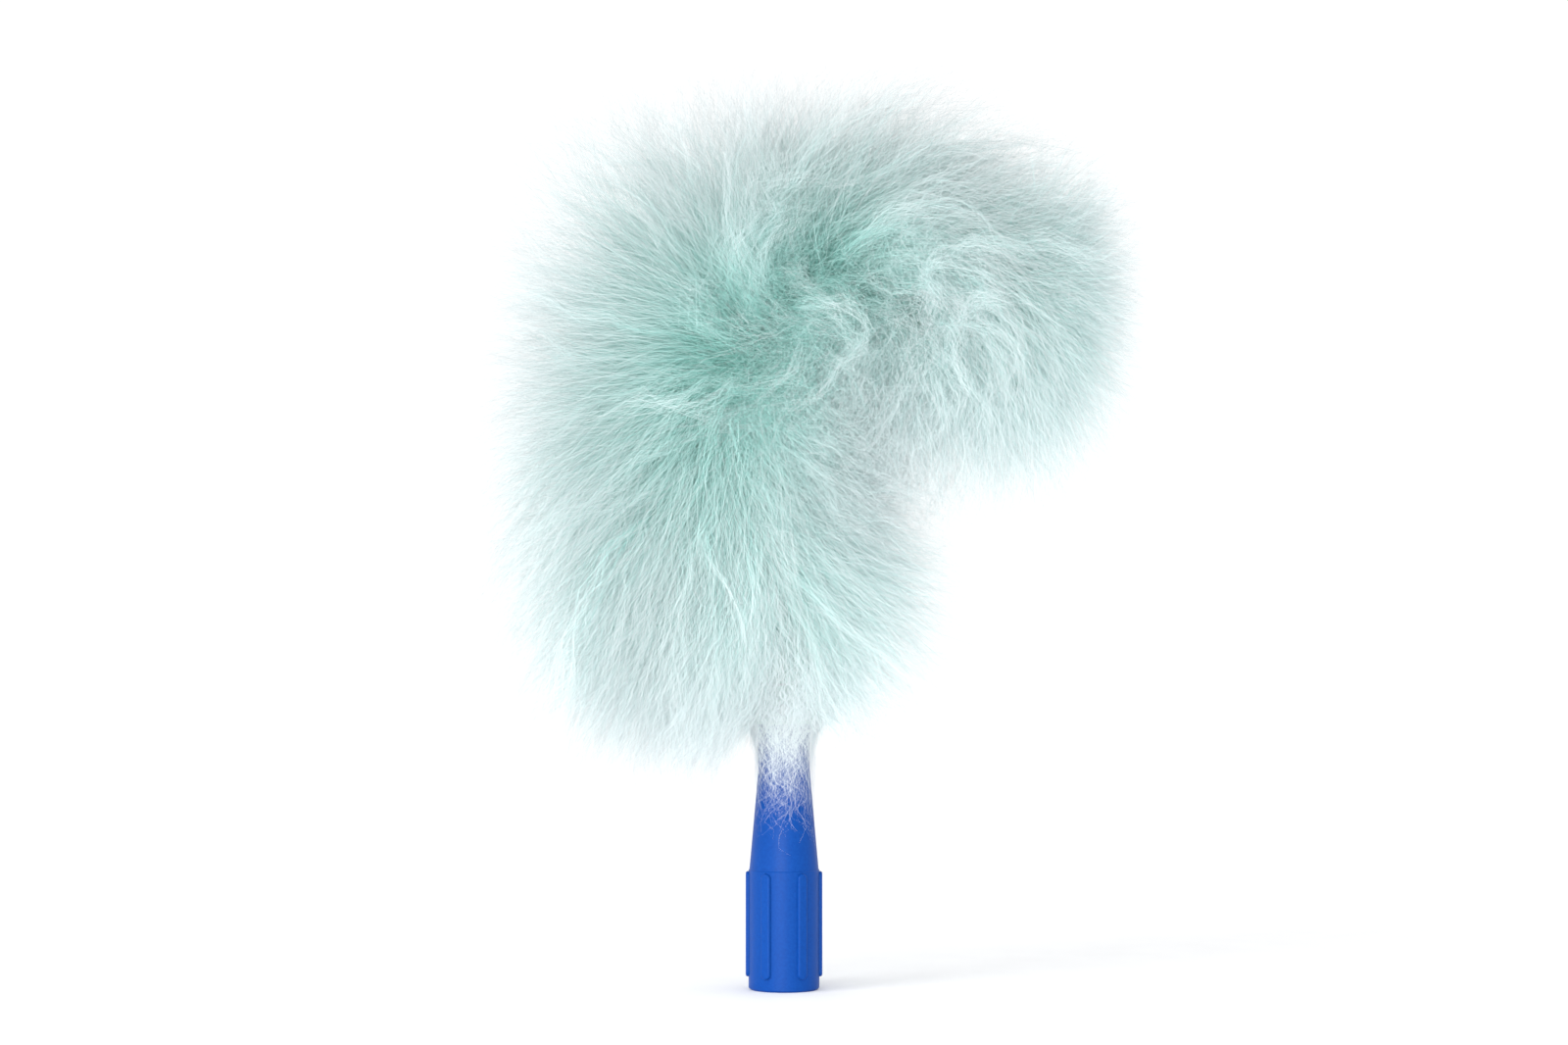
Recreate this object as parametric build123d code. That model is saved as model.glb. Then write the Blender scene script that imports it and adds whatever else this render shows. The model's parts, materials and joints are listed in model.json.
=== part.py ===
from build123d import *

import math
import os

# Bendable wool duster head on a screw-on pole socket. Millimetres, +Z up.
# The origin is the middle of the socket's open end, which is also what the head stands on.
# +X is the way the crook points, and the head bends in the XZ plane.

# Pole socket
SOCKET_R = 16.0  # grip, between the ribs
SOCKET_TOP = 134.0  # top of the neck
GRIP_TOP = 53.8  # shoulder where the taper begins
SHOULDER_R = 15.65
TAPER_MID = (13.75, 75.0)  # radius, height: the taper is slightly hollow
TAPER_TOP = (11.75, 98.0)
NECK_R = 11.65
RIM_BEVEL = 0.8
RIB_COUNT = 6
RIB_WIDTH = 4.7
RIB_R = 17.3  # over the ribs
RIB_Z = (5.6, 53.2)
RIB_ROUND = 1.0
THREAD_R = 8.1  # wall at the crests of a 3/4 inch pole thread, five turns to the inch
THREAD_DEPTH = 1.45
THREAD_PITCH = 5.08
THREAD_Z = (-4.0, 33.0)  # the groove runs out of the mouth
HOLE_DEPTH = 40.0

# Core: a soft steel rod in a foam sleeve, held in the neck by a plug and a cross pin
PLUG_R = 8.4
PLUG_Z = (58.0, 131.0)
PLUG_GAP = 0.15
ROD_R = 2.8
ROD_GAP = 0.3  # round rod end to the hollow end of the next piece
KNUCKLE_LENGTH = 4.0
ROD_ROOT_Z = 66.0
PIN_R = 1.6
PIN_Z = 126.5  # under the hide's collar
PIN_HEAD_R = 2.6
SLEEVE_R = (3.6, 11.5)  # inside, outside

# Wool: hide wrapped on the sleeve, pile standing on the hide
HIDE_R = (11.75, 14.0)
COLLAR_Z = 120.0  # bottom of the hide's collar on the neck
PILE_GAP = 0.2
SKIRT_Z = 88.0
SKIRT_R = (44.0, 66.0)  # at the bottom and at the top
TIP_LENGTH = 48.0  # pile past the end of the core
TIP_ROUND = 40.0
HIDE_TIP = 9.0
END_PLUG = 4.5

# The bend: each link of the core with its length, its lean from upright at rest, the radius of
# its pile and how far the pile's middle lies off the core, as it stands out more on the outside
SPINE_START = 138.0
LINKS = [
    (42.0, -15.0, 79.0, -13.0),
    (42.0, -23.0, 80.0, -16.0),
    (42.0, -8.0, 79.0, -23.0),
    (42.0, 24.0, 78.0, -22.0),
    (42.0, 60.0, 75.0, -19.0),
    (42.0, 88.0, 72.0, -16.0),
    (34.0, 106.0, 68.0, -13.0),
]
# How far each joint opens to the left and to the right of straight, in degrees
BENDS = [(30.2, 0.0), (23.2, 7.2), (0.0, 17.3), (0.0, 36.7), (0.0, 41.2), (0.0, 32.1), (0.0, 20.7)]
END_GAP = 0.35  # from each joint's axis to the flat end of the soft pieces
WIDE = 130.0


def tube(outer, inner, low, high, offset=0.0):
    """A round tube along Z. Only its outer wall is set off the axis."""
    body = Pos(offset, 0, (low + high) / 2) * Cylinder(outer, high - low)
    return body - Pos(0, 0, (low + high) / 2) * Cylinder(inner, high - low + 2)


def between_joints(length, below, above):
    """The room a link's soft pieces have: flat ends that lean back as far as each joint can close."""
    corners = []
    for side, way in ((0, -1), (1, 1)):
        lean_low = math.tan(math.radians(below[side] / 2)) if below else 0.0
        lean_high = math.tan(math.radians(above[side] / 2)) if above else 0.0
        reach = min(WIDE, (length - 2 * END_GAP) / max(lean_low + lean_high, 1e-6))
        low = (way * reach, END_GAP + reach * lean_low)
        high = (way * reach, length - END_GAP - reach * lean_high)
        ends = [low, high] if high[1] - low[1] > 0.01 else [low]
        corners.append(ends)
    left, right = corners
    outline = [(0, END_GAP)] + right + [(0, length - END_GAP)] + left[::-1]
    face = make_face(Plane.XZ * Polyline(*outline, close=True))
    return extrude(face, WIDE, both=True)


def make_socket():
    outline = [
        (0, 0),
        (SOCKET_R - RIM_BEVEL, 0),
        (SOCKET_R, RIM_BEVEL),
        (SOCKET_R, GRIP_TOP),
        (SHOULDER_R, GRIP_TOP + 0.35),
        TAPER_MID,
        TAPER_TOP,
        (NECK_R, TAPER_TOP[1] + 1.0),
        (NECK_R, SOCKET_TOP - 0.6),
        (NECK_R - 0.6, SOCKET_TOP),
        (0, SOCKET_TOP),
    ]
    body = revolve(make_face(Plane.XZ * Polyline(*outline, close=True)), Axis.Z)
    middle, height = (RIB_Z[0] + RIB_Z[1]) / 2, RIB_Z[1] - RIB_Z[0]
    bar = extrude(Plane.XZ * SlotOverall(height, RIB_WIDTH, rotation=90), RIB_R)
    front = bar.faces().sort_by(Axis.Y)[0]
    bar = fillet(front.edges(), RIB_ROUND)
    bar = Pos(0, 0, middle) * (bar - Box(40, 2 * SOCKET_R - 3, 60))
    for i in range(RIB_COUNT):
        body += Rot(0, 0, 30 + 360 / RIB_COUNT * i) * bar
    hole = [(0, -1), (THREAD_R, -1), (THREAD_R, HOLE_DEPTH), (0, HOLE_DEPTH + 4.0)]
    body -= revolve(make_face(Plane.XZ * Polyline(*hole, close=True)), Axis.Z)
    body -= Pos(0, 0, (PLUG_Z[0] + 200) / 2) * Cylinder(PLUG_R + PLUG_GAP, 200 - PLUG_Z[0])
    body -= Pos(0, 0, PIN_Z) * Rot(90, 0, 0) * Cylinder(PIN_R + 0.05, 60)
    path = Helix(THREAD_PITCH, THREAD_Z[1] - THREAD_Z[0], THREAD_R)
    profile = [(-0.6, -1.6), (THREAD_DEPTH, -0.5), (THREAD_DEPTH, 0.5), (-0.6, 1.6)]
    start = Plane((THREAD_R, 0, 0), x_dir=(1, 0, 0), z_dir=(0, -1, 0))
    groove = sweep(make_face(start * Polyline(*profile, close=True)), path, is_frenet=True)
    return body - Pos(0, 0, THREAD_Z[0]) * groove


def make_plug():
    plug = Pos(0, 0, sum(PLUG_Z) / 2) * Cylinder(PLUG_R, PLUG_Z[1] - PLUG_Z[0])
    plug = chamfer(plug.edges().filter_by(GeomType.CIRCLE), 0.8)
    plug -= Pos(0, 0, (ROD_ROOT_Z + 200) / 2) * Cylinder(ROD_R + 0.05, 200 - ROD_ROOT_Z)
    return plug - Pos(0, 0, PIN_Z) * Rot(90, 0, 0) * Cylinder(PIN_R + 0.05, 60)


def make_pin():
    """A rivet through the neck, the plug and the rod, with a low round head at each end."""
    pin = Pos(0, 0, PIN_Z) * Rot(90, 0, 0) * Cylinder(PIN_R, 2 * NECK_R)
    for turn in (0, 180):
        head = Pos(0, -NECK_R - 0.4, 0) * Rot(90, 0, 0) * Cylinder(PIN_HEAD_R, 0.8)
        head = fillet(head.faces().sort_by(Axis.Y)[0].edges(), 0.5)
        pin += Pos(0, 0, PIN_Z) * Rot(0, 0, turn) * head
    return pin


def make_rod(length, low=0.0, knuckle=True, hollow=True):
    rod = Pos(0, 0, (low + length) / 2) * Cylinder(ROD_R, length - low)
    if knuckle:
        rod += Rot(90, 0, 0) * Cylinder(ROD_R, KNUCKLE_LENGTH)
    if hollow:
        rod -= Pos(0, 0, length) * Rot(90, 0, 0) * Cylinder(ROD_R + ROD_GAP, 20)
    return rod


def make_tip_pile(room, length, radius, offset):
    end = length + TIP_LENGTH
    pile = Pos(offset, 0, end / 2) * Cylinder(radius, end)
    pile = fillet(pile.edges().filter_by(GeomType.CIRCLE).sort_by(Axis.Z)[-1], TIP_ROUND)
    core = Pos(0, 0, (length + HIDE_TIP) / 2) * Cylinder(HIDE_R[1] + PILE_GAP, length + HIDE_TIP + PILE_GAP)
    return (pile & room) - core


def make_hide_tip(length):
    """The hide gathered over the end of the core."""
    outside = Pos(0, 0, length + HIDE_TIP / 2) * Cylinder(HIDE_R[1], HIDE_TIP)
    outside = fillet(outside.edges().filter_by(GeomType.CIRCLE).sort_by(Axis.Z)[-1], 5.0)
    inside = Pos(0, 0, length + END_PLUG / 2 - 0.5) * Cylinder(HIDE_R[0], END_PLUG + 1.4)
    return outside - inside


parts = {
    "pole_socket": make_socket(),
    "core_plug": make_plug(),
    "core_rod_0": make_rod(SPINE_START, low=ROD_ROOT_Z, knuckle=False)
    - Pos(0, 0, PIN_Z) * Rot(90, 0, 0) * Cylinder(PIN_R + 0.05, 60),
    "cross_pin": make_pin(),
}

# The collar and skirt of wool on the neck, cut off below the first joint
neck_room = between_joints(SPINE_START, None, BENDS[0])
parts["hide_0"] = tube(HIDE_R[1], HIDE_R[0], COLLAR_Z, 200) & neck_room
parts["hide_0"] -= Pos(0, 0, PIN_Z) * Rot(90, 0, 0) * Cylinder(PIN_HEAD_R + 0.3, 60)
skirt = loft(
    [Pos(0, 0, SKIRT_Z) * Circle(SKIRT_R[0]), Pos(0, 0, SPINE_START + 10) * Circle(SKIRT_R[1])],
    ruled=True,
)
skirt -= Pos(0, 0, SPINE_START / 2 + 50) * Cylinder(HIDE_R[1] + PILE_GAP, 200)
parts["pile_0"] = skirt & neck_room

x, z = 0.0, SPINE_START
for number, (length, lean, pile_r, pile_off) in enumerate(LINKS, start=1):
    place = Location((x, 0, z), (0, lean, 0))
    last = number == len(LINKS)
    above = None if last else BENDS[number]
    room = between_joints(length, BENDS[number - 1], above)
    parts[f"core_rod_{number}"] = place * make_rod(length, hollow=not last)
    parts[f"core_sleeve_{number}"] = place * (tube(SLEEVE_R[1], SLEEVE_R[0], -1, length + 1) & room)
    parts[f"hide_{number}"] = place * (tube(HIDE_R[1], HIDE_R[0], -1, length + 1) & room)
    if last:
        tip_room = between_joints(length + 2 * TIP_LENGTH, BENDS[number - 1], None)
        parts[f"pile_{number}"] = place * make_tip_pile(tip_room, length, pile_r, pile_off)
        plug = Pos(0, 0, length + END_PLUG / 2) * Cylinder(SLEEVE_R[1], END_PLUG)
        parts["end_plug"] = place * chamfer(plug.edges().filter_by(GeomType.CIRCLE).sort_by(Axis.Z)[-1], 1.2)
        parts["hide_tip"] = place * make_hide_tip(length)
    else:
        pile = tube(pile_r, HIDE_R[1] + PILE_GAP, -60, length + 60, pile_off)
        parts[f"pile_{number}"] = place * (pile & room)
    x += length * math.sin(math.radians(lean))
    z += length * math.cos(math.radians(lean))

os.makedirs("parts", exist_ok=True)
for name, shape in parts.items():
    export_step(shape, f"parts/{name}.step")
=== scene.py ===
import math

import bpy
import numpy as np
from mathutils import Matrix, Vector
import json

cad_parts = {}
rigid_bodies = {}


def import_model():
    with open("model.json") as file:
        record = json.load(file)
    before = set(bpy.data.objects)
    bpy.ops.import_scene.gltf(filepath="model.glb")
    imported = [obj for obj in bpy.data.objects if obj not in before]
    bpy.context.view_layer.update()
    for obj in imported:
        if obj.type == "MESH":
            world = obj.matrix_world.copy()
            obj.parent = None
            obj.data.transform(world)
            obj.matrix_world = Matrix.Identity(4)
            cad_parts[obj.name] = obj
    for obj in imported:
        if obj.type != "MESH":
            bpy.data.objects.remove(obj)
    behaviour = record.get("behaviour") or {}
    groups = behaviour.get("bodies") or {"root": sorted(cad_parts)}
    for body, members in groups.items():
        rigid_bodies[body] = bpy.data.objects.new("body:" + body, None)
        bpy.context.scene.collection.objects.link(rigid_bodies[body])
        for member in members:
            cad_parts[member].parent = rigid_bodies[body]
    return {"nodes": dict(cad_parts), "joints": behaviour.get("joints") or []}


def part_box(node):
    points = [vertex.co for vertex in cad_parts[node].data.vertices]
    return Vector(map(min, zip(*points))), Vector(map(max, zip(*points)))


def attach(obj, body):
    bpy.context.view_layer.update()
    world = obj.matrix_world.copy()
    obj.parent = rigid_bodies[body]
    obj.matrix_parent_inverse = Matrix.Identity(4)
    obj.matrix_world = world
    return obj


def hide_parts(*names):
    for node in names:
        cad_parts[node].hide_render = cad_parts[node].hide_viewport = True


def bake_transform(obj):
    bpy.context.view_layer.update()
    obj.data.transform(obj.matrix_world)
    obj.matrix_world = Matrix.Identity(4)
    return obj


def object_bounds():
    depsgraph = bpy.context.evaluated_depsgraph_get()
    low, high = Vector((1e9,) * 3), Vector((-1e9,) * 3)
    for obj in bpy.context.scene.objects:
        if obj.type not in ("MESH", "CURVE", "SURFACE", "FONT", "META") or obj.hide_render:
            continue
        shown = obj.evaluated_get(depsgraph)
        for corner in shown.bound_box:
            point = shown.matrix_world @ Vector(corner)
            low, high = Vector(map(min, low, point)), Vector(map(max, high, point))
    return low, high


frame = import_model()
cad_low, cad_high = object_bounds()
rng = np.random.default_rng(7)

# ---------------------------------------------------------------- the core's line

ROOT_BODY = "socket"
chain, body = [], ROOT_BODY
while True:
    step = next((j for j in frame["joints"] if j["parent"] == body), None)
    if step is None:
        break
    chain.append(step)
    body = step["child"]
bodies = [ROOT_BODY] + [j["child"] for j in chain]
end_low, end_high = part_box("end_plug")
spine = np.array([j["pos_m"] for j in chain] + [list((Vector(end_low) + Vector(end_high)) / 2)])
steps = np.diff(spine, axis=0)
lengths = np.linalg.norm(steps, axis=1)
leans = np.arctan2(steps[:, 0], steps[:, 2])
marks = np.concatenate([[0.0], np.cumsum(lengths)])
middles = (marks[:-1] + marks[1:]) / 2
CORE_END = marks[-1]
HIDE_R = 0.0138
HIDE_END = 0.009  # how far past the core's end the wool on its tip is rooted
COLLAR = 0.014  # how far the wool starts below the first joint
UPRIGHT_BELOW = 0.03  # this far below the first joint the core no longer leans
neck_x, neck_height = spine[0][0], spine[0][2]
lean_at = np.concatenate([[-UPRIGHT_BELOW], middles, [CORE_END]])
lean_of = np.concatenate([[0.0], leans, [leans[-1]]])


def core_point(s):
    """Where the core is at distance s from the first joint."""
    below = np.minimum(s, 0.0)
    s = np.clip(s, 0.0, None)
    x = np.interp(s, marks, spine[:, 0])
    z = np.interp(s, marks, spine[:, 2]) + below
    return np.stack([x, np.zeros_like(x), z], -1)


def core_frame(s):
    """Across to the right, towards the back and along the core, for each s."""
    lean = np.interp(s, lean_at, lean_of)
    zero = np.zeros_like(lean)
    across = np.stack([np.cos(lean), zero, -np.sin(lean)], -1)
    along = np.stack([np.sin(lean), zero, np.cos(lean)], -1)
    back = np.stack([zero, zero + 1.0, zero], -1)
    return across, back, along


def unit(v):
    return v / np.maximum(np.linalg.norm(v, axis=-1, keepdims=True), 1e-9)


def field(p, size, seed):
    """A smooth random vector for each point, about one in length."""
    r = np.random.default_rng(seed)
    out = np.zeros(p.shape)
    for octave in range(4):
        k = unit(r.normal(size=(3, 3))) * (2 * math.pi / size) * (1 + 0.55 * octave)
        phase = r.uniform(0, 2 * math.pi, 3)
        out += np.sin(p @ k.T + phase) * (0.8, 0.6, 0.4, 0.3)[octave]
    return out


# ---------------------------------------------------------------- wool

GUIDE_STEPS = 16
SUPPLE = 2.6  # how much of the pull a lock follows over its whole length
ARM_AT, ARM_WIDE = 0.225, 0.055  # the middle of the crook's arm along the core, and how far it reaches
COARSE_SWIRL, FINE_SWIRL, TUFT_SIZE = 0.075, 0.042, 0.11
THIN_BELOW = 0.03  # the wool is thinner where the hide starts

# the wool may stand past the CAD's box by this share of its side, and this much more
PAST_SHARE, PAST_MORE = 0.03, 0.0085
side = np.array(cad_high) - np.array(cad_low)
low_limit = np.array(cad_low) - PAST_SHARE * side - PAST_MORE
high_limit = np.array(cad_high) + PAST_SHARE * side + PAST_MORE

# how the wool lies, at stations along the core: how far it reaches on the outside and the inside of the
# crook, which way it is combed near its roots and near its tips, how pale its tips are and how light it is
station = np.array([-0.014, 0.03, 0.075, 0.12, 0.16, 0.20, 0.245, 0.29])
reach_outer = np.array([0.072, 0.108, 0.130, 0.140, 0.145, 0.120, 0.084, 0.066])
reach_inner = np.array([0.047, 0.078, 0.080, 0.070, 0.078, 0.091, 0.092, 0.086])
root_x = np.array([-0.1, 0.05, 0.1, 0.0, -0.45, -0.4, 0.0, 0.4])
root_z = np.array([-0.8, -0.9, -0.9, -0.7, 0.1, 0.7, 0.7, 0.1])
tip_x = np.array([-0.1, 0.1, 0.25, 0.1, -0.5, 0.4, 0.9, 0.8])
tip_z = np.array([-0.9, -1.0, -1.0, -0.9, 0.0, 0.1, -0.5, -0.9])
paleness = np.array([1.9, 1.5, 1.2, 1.02, 1.0, 1.2, 1.55, 1.9])
lightness = np.array([0.36, 0.38, 0.24, 0.04, -0.14, -0.28, -0.20, 0.28])


def at_station(s, *tables):
    return [np.interp(s, station, table) for table in tables]


def grow_guides(s, around, tipped, unruly=0.25, curl=3.6, droop=0.22):
    """One line for each lock of wool, from its root outwards. tipped is how far a root on the end of the
    core leans from outwards to onwards; unruly is how far each lock strays from its neighbours, curl how far
    (in radians) the locks on the arm of the crook turn, droop how strongly they hang. Returns the
    lines, their first directions, lengths and centres, how pale and light they are, and where on the core."""
    across, back, along = core_frame(s)
    out = across * np.cos(around)[:, None] + back * np.sin(around)[:, None]
    root = core_point(s) + out * (HIDE_R * np.cos(tipped))[:, None]
    root = root + along * (HIDE_END * np.sin(tipped))[:, None]
    n = unit(out * np.cos(tipped)[:, None] + along * np.sin(tipped)[:, None])
    onward = np.clip((s - (CORE_END - 0.05)) / 0.05, 0, 1)[:, None]
    hang = np.clip((0.03 - s) / 0.05, 0, 1)[:, None]
    down = np.array([0.0, 0.0, -1.0])
    low = np.clip((0.08 - s) / 0.08, 0, 1)[:, None]
    n = unit(n + along * 0.55 * onward + down * 0.6 * hang)
    count = len(s)
    facing = np.abs(n[:, 1:2]) ** 1.5
    zero = np.zeros(count)
    rx, rz, tx, tz = at_station(s, root_x, root_z, tip_x, tip_z)
    outer, inner = at_station(s, reach_outer, reach_inner)
    at_root, at_tip = np.stack([rx, zero, rz], -1), np.stack([tx, zero, tz], -1)
    own = rng.normal(size=(count, 3)) * unruly
    arm = np.exp(-(((s - ARM_AT) / ARM_WIDE) ** 2))[:, None]
    turn = rng.normal(0, 0.45, (count, 1))
    turn = turn + rng.normal(curl, 1.0, (count, 1)) * arm * np.abs(n[:, 1:2])
    turn = turn / GUIDE_STEPS
    turn_cos, turn_sin = np.cos(turn)[:, 0], np.sin(turn)[:, 0]
    inside = 0.5 + 0.5 * np.cos(around)  # 1 on the inside of the crook, 0 on the outside
    tufts = 1 + 0.05 * field(root * 4.0, TUFT_SIZE, 5)[:, 0]
    length = (outer + (inner - outer) * inside) * tufts
    length = length * rng.normal(1.04, 0.11, count) * (1 - 0.2 * np.sin(tipped))
    p, d = root.copy(), n.copy()
    line = [p.copy()]
    centre = core_point(s)
    for i in range(GUIDE_STEPS):
        t = (i + 0.5) / GUIDE_STEPS
        comb = at_root + (at_tip - at_root) * t
        outward = p - centre
        outward[:, 1] = 0.0
        outward = unit(outward) * np.clip(np.linalg.norm(outward, axis=1, keepdims=True) / 0.03, 0, 1)
        swirl = field(p, COARSE_SWIRL, 3) + field(p, FINE_SWIRL, 11) * arm * 1.5
        pull = (
            comb * (0.25 + (1.5 + 0.6 * arm) * facing)
            + outward * (0.6 + 0.8 * facing)
            + swirl * (0.26 + 0.42 * facing)
            + own
            + down * (droop + 0.35 * low)
        )
        strength = 0.9 * math.sin(math.pi * min(1.0, t * 1.1)) + 0.25 * t
        d = unit(d + pull * strength * (SUPPLE / GUIDE_STEPS))
        dx, dz = d[:, 0].copy(), d[:, 2].copy()
        d[:, 0], d[:, 2] = dx * turn_cos + dz * turn_sin, dz * turn_cos - dx * turn_sin
        p = p + d * (length / GUIDE_STEPS)[:, None]
        line.append(p.copy())
    pale, light = at_station(s, paleness, lightness)
    pale = pale * (1 - 0.4 * inside * np.clip((0.24 - s) / 0.04, 0, 1) * np.clip((s - 0.09) / 0.05, 0, 1))
    # painted light: locks that grow facing down, and those on the inside of the crook, get a lighter tone
    # that lifts the shade under the arm and in the crook
    light = light + 0.42 * np.clip(-n[:, 2], 0, 1) + 0.34 * inside**2
    return np.stack(line, 1), n, length, centre, pale, light, s


def along_line(lines, which, t):
    """Points at share t along the chosen guides, a little past their ends too."""
    f = t * GUIDE_STEPS
    i = np.clip(f.astype(int), 0, GUIDE_STEPS - 1)
    a, b = lines[which[:, None], i], lines[which[:, None], i + 1]
    return a + (b - a) * (f - i)[..., None]


TRIM_ROUNDS = 16
HEM, HEM_DEPTH = 0.076, 0.060  # the lowest the wool hangs, and how far up from there single fibres end
PARTING, PARTING_WIDE = (0.044, 0.070), 0.019  # how much higher it ends by the neck, and how far across
FINE_WAVE, COARSE_WAVE = (0.012, 0.0004), (0.032, 0.0017)  # length and height of each fibre's own waves
FADED = 0.04  # over this height above the first joint the dye fades out towards the collar


def ribbons(path, width, facing):
    """Flat ribbons along each path, turned towards facing, thinning to the tip."""
    tangent = unit(np.gradient(path, axis=1))
    across = unit(np.cross(tangent, facing[:, None, :]))
    u = np.linspace(0, 1, path.shape[1])
    taper = (1 - u**1.25) * 0.94 + 0.06
    half = (width / 2)[:, None] * taper[None, :]
    return np.stack([path - across * half[..., None], path + across * half[..., None]], 2)


def make_fibres(guides, per_lock, points, width, reach, loose, spread, wave, fuzz, tone, pale):
    """Ribbons in locks along the guides. reach is the share of the guide they follow, loose the share of
    fibres that leave their lock, spread how far apart they are at the root, wave how strongly a lock waves
    and fuzz how strongly each fibre does. Returns corner points (fibre, point, side, xyz), a tone and how
    pale the root and the tip are, for every fibre."""
    lines, normals, lengths, centres, pales, lights, along = guides
    locks = len(lines)
    which = np.repeat(np.arange(locks), per_lock)
    count = len(which)
    share = reach[0] + (reach[1] - reach[0]) * rng.beta(1.3, 1.9, count)
    n = normals[which]
    e1 = unit(np.cross(n, np.array([0.31, 0.2, 0.93])))
    e2 = np.cross(n, e1)
    apart = rng.normal(size=(count, 2)) * spread
    leaves = rng.uniform(size=count) < loose
    opening = np.where(leaves, rng.uniform(2.5, 6.5, count), rng.uniform(0.2, 2.0, count))
    amp = (rng.gamma(2.2, 0.0010, locks) * wave)[which]
    period = rng.uniform(0.022, 0.045, locks)[which]
    phase = rng.uniform(0, 2 * math.pi, locks)[which]
    turn = rng.uniform(0.3, 1.0, locks)[which]
    waves = []
    for size, height in (FINE_WAVE, COARSE_WAVE):
        wavelength = rng.uniform(0.7, 1.5, (count, 1)) * size
        start = rng.uniform(0, 6.3, (count, 1))
        slant = unit(rng.normal(size=(count, 3)))
        waves.append((wavelength, start, slant, height))
    hem = HEM + HEM_DEPTH * rng.beta(1.0, 2.0, count)
    rise = rng.uniform(*PARTING, count)

    def shape(chosen):
        t = np.linspace(0, 1, points)[None, :] * share[chosen][:, None]
        path = along_line(lines, which[chosen], t)
        grow = 1 + opening[chosen][:, None] * t
        path += (e1[chosen] * apart[chosen, :1])[:, None, :] * grow[..., None]
        path += (e2[chosen] * apart[chosen, 1:])[:, None, :] * grow[..., None]
        far = t * lengths[which[chosen]][:, None]
        a = (amp[chosen][:, None] * np.clip(t * 2.2, 0, 1.3))[..., None]
        angle = 2 * math.pi * far / period[chosen][:, None] + phase[chosen][:, None]
        path += a * e1[chosen][:, None, :] * np.sin(angle)[..., None]
        path += a * e2[chosen][:, None, :] * (turn[chosen][:, None] * np.cos(angle))[..., None]
        for wavelength, start, slant, height in waves:
            angle = 2 * math.pi * far / wavelength[chosen] + start[chosen]
            swing = np.sin(angle) * height * fuzz * np.clip(t * 3, 0, 1.6)
            path += slant[chosen][:, None, :] * swing[..., None]
        return path

    path = shape(np.arange(count))
    for _ in range(TRIM_ROUNDS):  # wool that would stand too far out or hang too low is cut shorter
        lowest = hem[:, None] + rise[:, None] * np.exp(-((path[..., 0] / PARTING_WIDE) ** 2))
        out = ((path < low_limit) | (path > high_limit)).any((1, 2)) | (path[..., 2] < lowest)[:, 1:].any(1)
        if not out.any():
            break
        share[out] *= rng.uniform(0.82, 0.97, int(out.sum()))
        path[out] = shape(np.flatnonzero(out))
    outward = unit(path[:, points * 2 // 3] - centres[which])
    facing = unit(outward + rng.normal(size=(count, 3)) * 0.45)
    corners = ribbons(path, rng.uniform(*width, count), facing)
    # painted shade: wool that ends close to the core is darker, standing in for the shade deep in the pile,
    # and wool that reaches far out is darker too, toning down the bright light on the outline; the further
    # out, the paler its tip
    reached = np.linalg.norm((path[:, -1] - centres[which])[:, [0, 2]], axis=1)
    near = np.clip((0.05 - reached) / 0.04, 0, 1)
    shade = tone + lights[which] - 0.34 * np.clip((reached - 0.045) / 0.045, 0, 1) - 0.30 * near
    least = (0.42 + 0.42 * np.clip((0.13 - along) / 0.06, 0, 1))[which]
    ends = pale * pales[which] * np.clip(least + (1 - least) * (reached - 0.02) / 0.06, least, 1.35)
    tones = np.clip(shade + 0.08 * rng.normal(size=locks)[which] + 0.09 * rng.normal(size=count), 0.02, 0.98)
    ends = np.clip(ends * rng.normal(1.0, 0.08, count), 0.1, 1.0)
    # long wool is paler all the way down, and by the collar the dye has faded to the roots
    starts = (0.12 + 0.10 * np.clip((along - 0.15) / 0.05, 0, 1))[which]
    starts = starts * np.clip((reached - 0.055) / 0.05, 0, 1)
    starts = np.maximum(starts, 0.7 * np.clip((neck_height + FADED - centres[which][:, 2]) / FADED, 0, 1))
    return corners, tones, starts, np.maximum(ends, starts)


def fibre_mesh(name, corners, tone, pale_root, pale_tip, material):
    """One mesh of ribbons. Its UV map holds each fibre's tone across, and how pale it is from root to tip."""
    count, points = corners.shape[:2]
    verts = corners.reshape(-1, 3)
    base = (np.arange(count) * points * 2)[:, None] + (np.arange(points - 1) * 2)[None, :]
    quads = np.stack([base, base + 1, base + 3, base + 2], -1).reshape(-1)
    mesh = bpy.data.meshes.new(name)
    mesh.vertices.add(len(verts))
    mesh.vertices.foreach_set("co", verts.astype(np.float32).ravel())
    mesh.loops.add(len(quads))
    mesh.loops.foreach_set("vertex_index", quads.astype(np.int32))
    faces = len(quads) // 4
    mesh.polygons.add(faces)
    mesh.polygons.foreach_set("loop_start", (np.arange(faces) * 4).astype(np.int32))
    mesh.update(calc_edges=True)
    mesh.polygons.foreach_set("use_smooth", np.ones(faces, bool))
    layer = mesh.uv_layers.new(name="OFBake")
    v = pale_root[:, None] + np.linspace(0, 1, points)[None, :] * (pale_tip - pale_root)[:, None]
    v0, v1 = v[:, :-1], v[:, 1:]
    uv = np.zeros((count, points - 1, 4, 2), np.float32)
    uv[..., 0] = tone[:, None, None] + np.array([-0.002, 0.002, 0.002, -0.002])
    uv[..., 0, 1], uv[..., 1, 1], uv[..., 2, 1], uv[..., 3, 1] = v0, v0, v1, v1
    layer.data.foreach_set("uv", np.clip(uv, 0.001, 0.999).ravel())
    mesh.materials.append(material)
    obj = bpy.data.objects.new(name, mesh)
    bpy.context.scene.collection.objects.link(obj)
    return obj


# ---------------------------------------------------------------- materials


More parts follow.
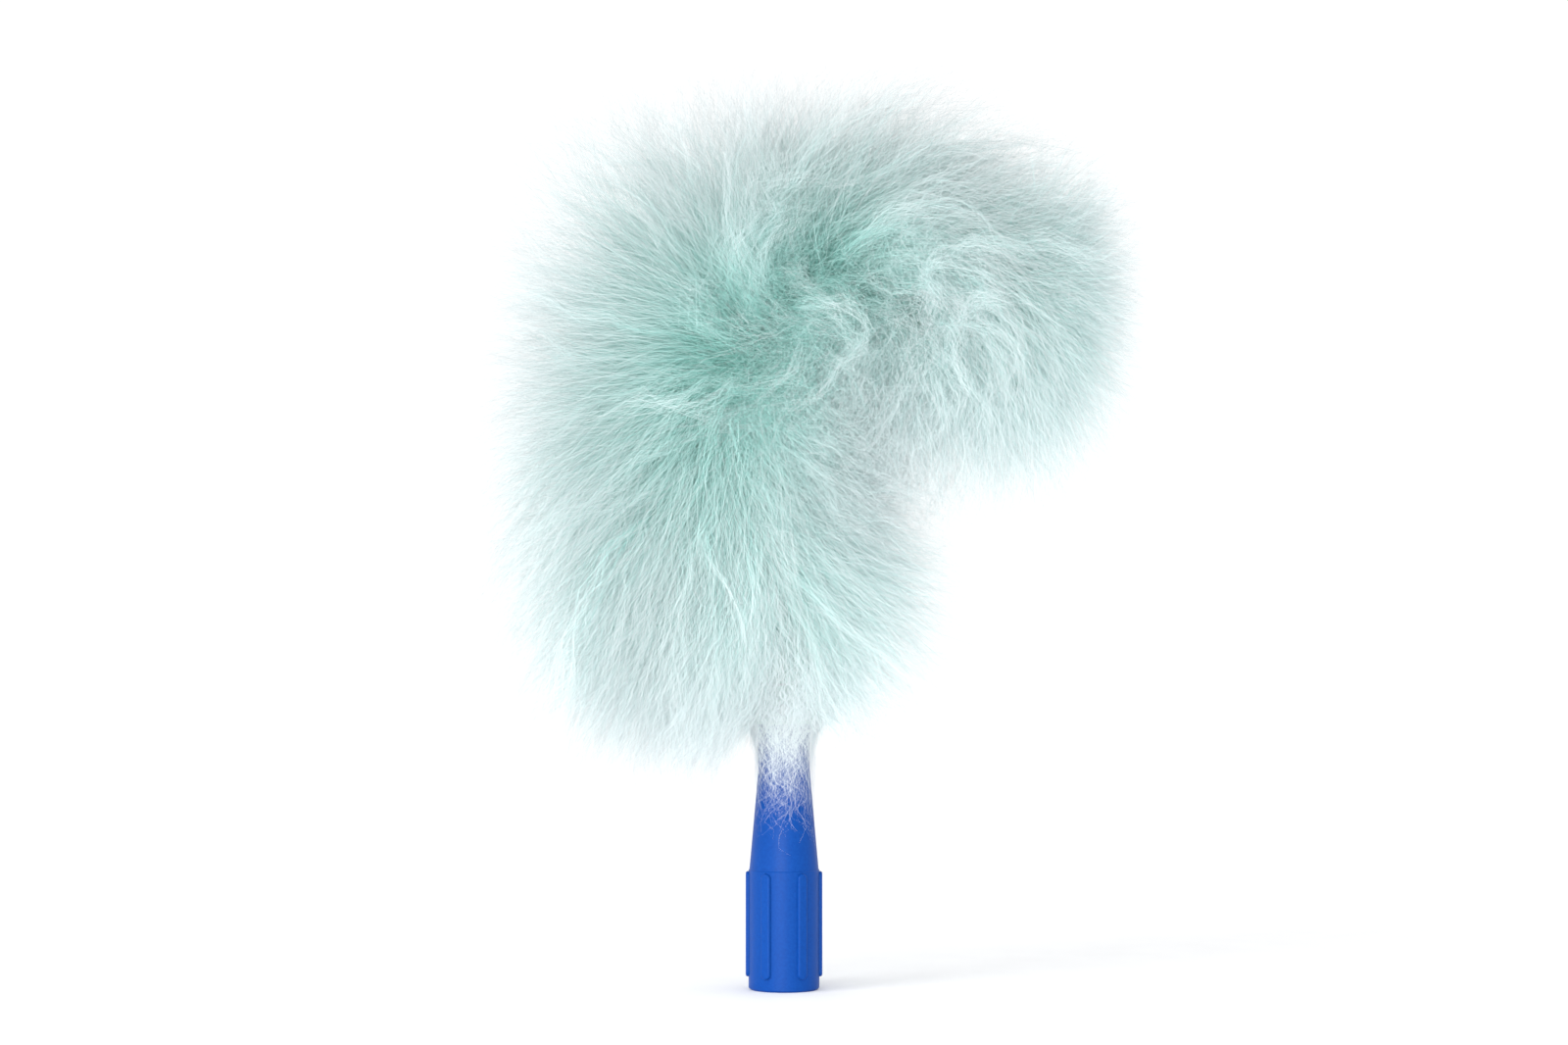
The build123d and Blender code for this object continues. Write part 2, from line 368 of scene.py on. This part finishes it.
def new_material(name):
    m = bpy.data.materials.new(name)
    m.use_nodes = True
    nodes = m.node_tree.nodes
    return m, nodes, m.node_tree.links, nodes["Principled BSDF"]


def ramp(nodes, stops):
    r = nodes.new("ShaderNodeValToRGB")
    r.color_ramp.elements[0].position, r.color_ramp.elements[0].color = stops[0][0], (*stops[0][1], 1)
    r.color_ramp.elements[1].position, r.color_ramp.elements[1].color = stops[-1][0], (*stops[-1][1], 1)
    for at, colour in stops[1:-1]:
        r.color_ramp.elements.new(at).color = (*colour, 1)
    return r


def wool_material(name, deep, light):
    """Dyed at the root and pale at the tip, between the colours of deep and of light wool."""
    m, nodes, links, bsdf = new_material(name)
    uv = nodes.new("ShaderNodeUVMap")
    uv.uv_map = "OFBake"
    parts = nodes.new("ShaderNodeSeparateXYZ")
    links.new(uv.outputs[0], parts.inputs[0])
    down = ramp(nodes, deep)
    up = ramp(nodes, light)
    links.new(parts.outputs["Y"], down.inputs[0])
    links.new(parts.outputs["Y"], up.inputs[0])
    mix = nodes.new("ShaderNodeMix")
    mix.data_type = "RGBA"
    links.new(parts.outputs["X"], mix.inputs["Factor"])
    links.new(down.outputs[0], mix.inputs["A"])
    links.new(up.outputs[0], mix.inputs["B"])
    links.new(mix.outputs["Result"], bsdf.inputs["Base Color"])
    bsdf.inputs["Roughness"].default_value = 0.62
    bsdf.inputs["Specular IOR Level"].default_value = 0.25
    return m


wool = wool_material(
    "wool",
    deep=[
        (0.0, (0.22, 0.61, 0.53)),
        (0.35, (0.36, 0.62, 0.58)),
        (0.7, (0.53, 0.60, 0.605)),
        (1.0, (0.58, 0.60, 0.615)),
    ],
    light=[
        (0.0, (0.31, 0.77, 0.67)),
        (0.35, (0.46, 0.82, 0.77)),
        (0.7, (0.72, 0.87, 0.87)),
        (1.0, (0.86, 0.90, 0.92)),
    ],
)


def grained(name, dark, light, scale, rough, bump, height=0.0001):
    """A surface whose colour, roughness and relief all vary with a fine grain."""
    m, nodes, links, bsdf = new_material(name)
    where = nodes.new("ShaderNodeTexCoord")
    noise = nodes.new("ShaderNodeTexNoise")
    noise.inputs["Scale"].default_value = scale
    noise.inputs["Detail"].default_value = 6.0
    links.new(where.outputs["Object"], noise.inputs["Vector"])
    colour = ramp(nodes, [(0.3, dark), (0.7, light)])
    links.new(noise.outputs["Fac"], colour.inputs[0])
    links.new(colour.outputs[0], bsdf.inputs["Base Color"])
    spread = nodes.new("ShaderNodeMapRange")
    spread.inputs["To Min"].default_value, spread.inputs["To Max"].default_value = rough
    links.new(noise.outputs["Fac"], spread.inputs["Value"])
    links.new(spread.outputs[0], bsdf.inputs["Roughness"])
    relief = nodes.new("ShaderNodeBump")
    relief.inputs["Strength"].default_value = bump
    relief.inputs["Distance"].default_value = height
    links.new(noise.outputs["Fac"], relief.inputs["Height"])
    links.new(relief.outputs[0], bsdf.inputs["Normal"])
    return m, bsdf


plastic, plastic_bsdf = grained(
    "blue plastic", (0.002, 0.049, 0.262), (0.003, 0.060, 0.305), 900, (0.36, 0.48), 0.12
)
plastic_bsdf.inputs["Specular IOR Level"].default_value = 0.10
plain, _ = grained("plain plastic", (0.62, 0.62, 0.59), (0.72, 0.72, 0.70), 500, (0.45, 0.6), 0.2)
steel, steel_bsdf = grained("steel", (0.42, 0.42, 0.43), (0.60, 0.60, 0.61), 350, (0.25, 0.45), 0.15)
steel_bsdf.inputs["Metallic"].default_value = 1.0
foam, _ = grained("foam", (0.50, 0.55, 0.52), (0.66, 0.70, 0.67), 700, (0.75, 0.95), 0.8, 0.0004)
hide, _ = grained("hide", (0.34, 0.58, 0.50), (0.50, 0.72, 0.64), 260, (0.65, 0.85), 0.7, 0.0004)

for name, node in frame["nodes"].items():
    if name.startswith("pole"):
        chosen = plastic
    elif name.startswith(("core_plug", "end_plug")):
        chosen = plain
    elif name.startswith(("core_rod", "cross_pin")):
        chosen = steel
    elif name.startswith("core_sleeve"):
        chosen = foam
    else:
        chosen = hide
    node.data.materials.clear()
    node.data.materials.append(chosen)

# ---------------------------------------------------------------- the wool's pieces

# the coat, all round the core and over its end
LOCKS = 5000
tube_locks = int(LOCKS * 0.9)
s = rng.uniform(-COLLAR, CORE_END + 0.004, tube_locks)
around = rng.uniform(0, 2 * math.pi, tube_locks)
# the wool is thinner where the hide starts, and parts there in front and behind
kept = np.where((s < 0.014) & (np.abs(np.sin(around)) > 0.5), 0.06, 0.5)
thin = (s < THIN_BELOW) & (rng.uniform(size=tube_locks) > kept)
s[thin] = rng.uniform(THIN_BELOW, CORE_END, int(thin.sum()))
tipped = np.zeros(tube_locks)
end_locks = LOCKS - tube_locks
s = np.concatenate([s, np.full(end_locks, CORE_END)])
around = np.concatenate([around, rng.uniform(0, 2 * math.pi, end_locks)])
tipped = np.concatenate([tipped, np.arcsin(rng.uniform(0.0, 1.0, end_locks))])
guides = grow_guides(s, around, tipped)
group = np.searchsorted(middles, s)


def bend_with_core(piece, k):
    """The wool of the core's last length moves with its body; the wool of the other lengths stays where it is
    and follows no joint.
    """
    if k < len(chain):
        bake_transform(piece)
    else:
        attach(piece, bodies[k])


# pale curls, many of them on the front and the back of the crook's arm
WISPS = 520
on_arm = rng.uniform(size=WISPS) < 0.4
wisp_s = np.where(on_arm, rng.normal(ARM_AT, 0.03, WISPS), rng.uniform(0.01, CORE_END, WISPS))
wisp_s = np.clip(wisp_s, 0.01, CORE_END)
face = np.where(rng.uniform(size=WISPS) < 0.5, 0.5, -0.5) * math.pi + rng.normal(0, 0.7, WISPS)
wisp_around = np.where(on_arm, face, rng.uniform(0, 2 * math.pi, WISPS))
wisp_guides = grow_guides(wisp_s, wisp_around, np.zeros(WISPS), 0.5, 5.6)
wisp_group = np.searchsorted(middles, wisp_s)

# wool that hangs low, mostly on the left of the neck
FRINGE = 520
fringe_s = rng.uniform(-0.012, 0.075, FRINGE)
fringe_guides = grow_guides(fringe_s, rng.normal(math.pi, 1.1, FRINGE), np.zeros(FRINGE), 0.4, droop=1.3)
fringe_group = np.searchsorted(middles, fringe_s)

# long locks that break the outline
TUFTS = 560
tuft_s = rng.uniform(THIN_BELOW, CORE_END, TUFTS)
tuft_around = rng.uniform(0, 2 * math.pi, TUFTS)
tuft_guides = grow_guides(tuft_s, tuft_around, np.zeros(TUFTS), 0.4)
tuft_group = np.searchsorted(middles, tuft_s)

COATS = [
    # name, guides and their groups
    # fibres in each lock, points, width, reach, share loose, spread, wave, fuzz, tone, pale
    ("under", guides, group,
     5, 6, (0.00022, 0.00036), (0.25, 0.62), 0.6, 0.0036, 0.6, 1.0, 0.4, 0.5),
    ("coat_a", guides, group,
     9, 9, (0.00011, 0.00023), (0.45, 1.25), 0.9, 0.0042, 1.0, 1.2, 0.5, 1.0),
    ("coat_b", guides, group,
     9, 9, (0.00011, 0.00023), (0.45, 1.25), 0.9, 0.0042, 1.0, 1.2, 0.5, 1.0),
    ("wisp", wisp_guides, wisp_group,
     26, 11, (0.00013, 0.00024), (0.7, 1.3), 0.1, 0.0011, 2.0, 0.8, 1.05, 2.0),
    ("tuft", tuft_guides, tuft_group,
     16, 10, (0.00011, 0.00021), (0.8, 1.35), 0.3, 0.0014, 1.4, 1.2, 0.42, 1.1),
    ("fringe", fringe_guides, fringe_group,
     14, 11, (0.00010, 0.00018), (0.75, 1.5), 0.8, 0.0040, 1.4, 1.4, 0.24, 0.6),
    ("flyaway", guides, group,
     2, 12, (0.00011, 0.00019), (0.8, 1.45), 1.0, 0.0040, 1.8, 2.0, 0.35, 1.2),
]
for k in range(len(bodies)):
    for name, lines, where, *rest in COATS:
        picked = where == k
        if not picked.any():
            continue
        fibres = make_fibres([g[picked] for g in lines], *rest)
        piece = fibre_mesh(f"wool_{name}_{k}", *fibres, wool)
        bend_with_core(piece, k)
        if name == "under":
            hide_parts(f"pile_{k}")

# the last thin strands of the hide's edge: they start inside the coat and lie over the neck of the socket
CLUMPS, EACH = 170, 14
STRAYS = CLUMPS * EACH
STRAY_POINTS = 22
STUBS, STUB_END = 0.38, (0.100, 0.116)  # the share of short strands, and the heights where they end
END_FROM, END_SPAN = 0.118, 0.052  # the others end from this height down, over this span
NECK_HEIGHTS, NECK_RADII = [0.0532, 0.098, 0.134], [0.0160, 0.01175, 0.01175]
LIFT, LIFT_FROM, LIFT_SPAN = 0.0030, 0.108, 0.012  # how the strands step over the hide's edge
COAT_FROM = 0.116  # from here up they spread into the coat
clump = np.repeat(np.arange(CLUMPS), EACH)
top = rng.uniform(-COLLAR, 0.026, STRAYS)
end = END_FROM - END_SPAN * rng.beta(1.0, 1.9, STRAYS) - rng.uniform(-0.002, 0.008, CLUMPS)[clump]
stub = rng.uniform(size=STRAYS) < STUBS
end = np.where(stub, rng.uniform(*STUB_END, STRAYS), end)
t = np.linspace(0, 1, STRAY_POINTS)[None, :]
start = neck_height + top[:, None]
high = start + (end[:, None] - start) * t
fallen = (neck_height - high) / 0.05
turn = (rng.uniform(0, 2 * math.pi, CLUMPS)[clump] + rng.normal(0, 0.16, STRAYS))[:, None]
lean = rng.normal(0, 0.45, CLUMPS)[clump][:, None] + rng.normal(0, 0.30, (STRAYS, 1))
angle = turn + lean * fallen
for waviness, wavelength in ((0.16, 0.030), (0.11, 0.013), (0.05, 0.006)):
    size = rng.normal(0, waviness, (STRAYS, 1)) * np.clip(0.4 + fallen, 0.2, 1.2)
    phase = high * 2 * math.pi / wavelength * rng.uniform(0.7, 1.4, (STRAYS, 1))
    angle = angle + size * np.sin(phase + rng.uniform(0, 6.3, (STRAYS, 1)))
surface = np.interp(high, NECK_HEIGHTS, NECK_RADII)
lift = 0.0006 + rng.gamma(1.3, 0.0010, (STRAYS, 1)) * np.sin(np.pi * np.clip(t * 1.1, 0, 1)) ** 0.7
lift = lift + LIFT * np.clip((high - LIFT_FROM) / LIFT_SPAN, 0, 1)
lift = lift + rng.uniform(0.1, 0.8, (STRAYS, 1)) * np.clip(high - COAT_FROM, 0, None)
radius = surface + lift
path = np.stack([neck_x + radius * np.cos(angle), radius * np.sin(angle), high], -1)
outward = np.concatenate([np.cos(turn), np.sin(turn), np.zeros((STRAYS, 1))], 1)
corners = ribbons(path, rng.uniform(0.00008, 0.00019, STRAYS), outward)
tone, pale_root, pale_tip = (np.full(STRAYS, value) for value in (0.95, 0.8, 1.0))
strays = fibre_mesh("neck_strays", corners, tone, pale_root, pale_tip, wool)
bend_with_core(strays, 0)

# ---------------------------------------------------------------- floor, light and camera

FLOOR_R, FLOOR_SIDES = 1.1, 96
LAMPS_AIM = (0, 0, 0.22)

floor = bpy.data.meshes.new("floor")
turns = np.linspace(0, 2 * math.pi, FLOOR_SIDES, endpoint=False)
rim = [(FLOOR_R * math.cos(a), FLOOR_R * math.sin(a), 0.0) for a in turns]
floor.from_pydata(rim, [], [list(range(FLOOR_SIDES))])
floor_obj = bpy.data.objects.new("floor", floor)
bpy.context.scene.collection.objects.link(floor_obj)
paper, _ = grained("paper", (0.89, 0.89, 0.90), (0.91, 0.91, 0.92), 40, (0.85, 0.95), 0.0)
floor.materials.append(paper)


def lamp(name, at, size, power):
    light = bpy.data.lights.new(name, "AREA")
    light.shape = "RECTANGLE"
    light.size, light.size_y = size
    light.energy = power
    obj = bpy.data.objects.new(name, light)
    obj.location = at
    obj.rotation_euler = (Vector(LAMPS_AIM) - Vector(at)).to_track_quat("-Z", "Y").to_euler()
    bpy.context.scene.collection.objects.link(obj)


lamp("key", (-1.5, -1.1, 1.1), (0.9, 0.9), 18)
lamp("front", (-0.45, -2.27, 0.26), (1.4, 0.5), 37.5)

world = bpy.data.worlds.new("studio")
bpy.context.scene.world = world
world.use_nodes = True
sky = world.node_tree.nodes["Background"]
sky.inputs["Color"].default_value = (1, 1, 1, 1)
sky.inputs["Strength"].default_value = 1.08

camera = bpy.data.cameras.new("camera")
camera.lens, camera.sensor_width = 90.0, 36.0
camera_obj = bpy.data.objects.new("camera", camera)
camera_obj.location = (0.0, -1.77, 0.2105)
camera_obj.rotation_euler = (math.pi / 2, 0, 0)
bpy.context.scene.collection.objects.link(camera_obj)
bpy.context.scene.camera = camera_obj
bpy.context.scene.view_settings.view_transform = "Standard"
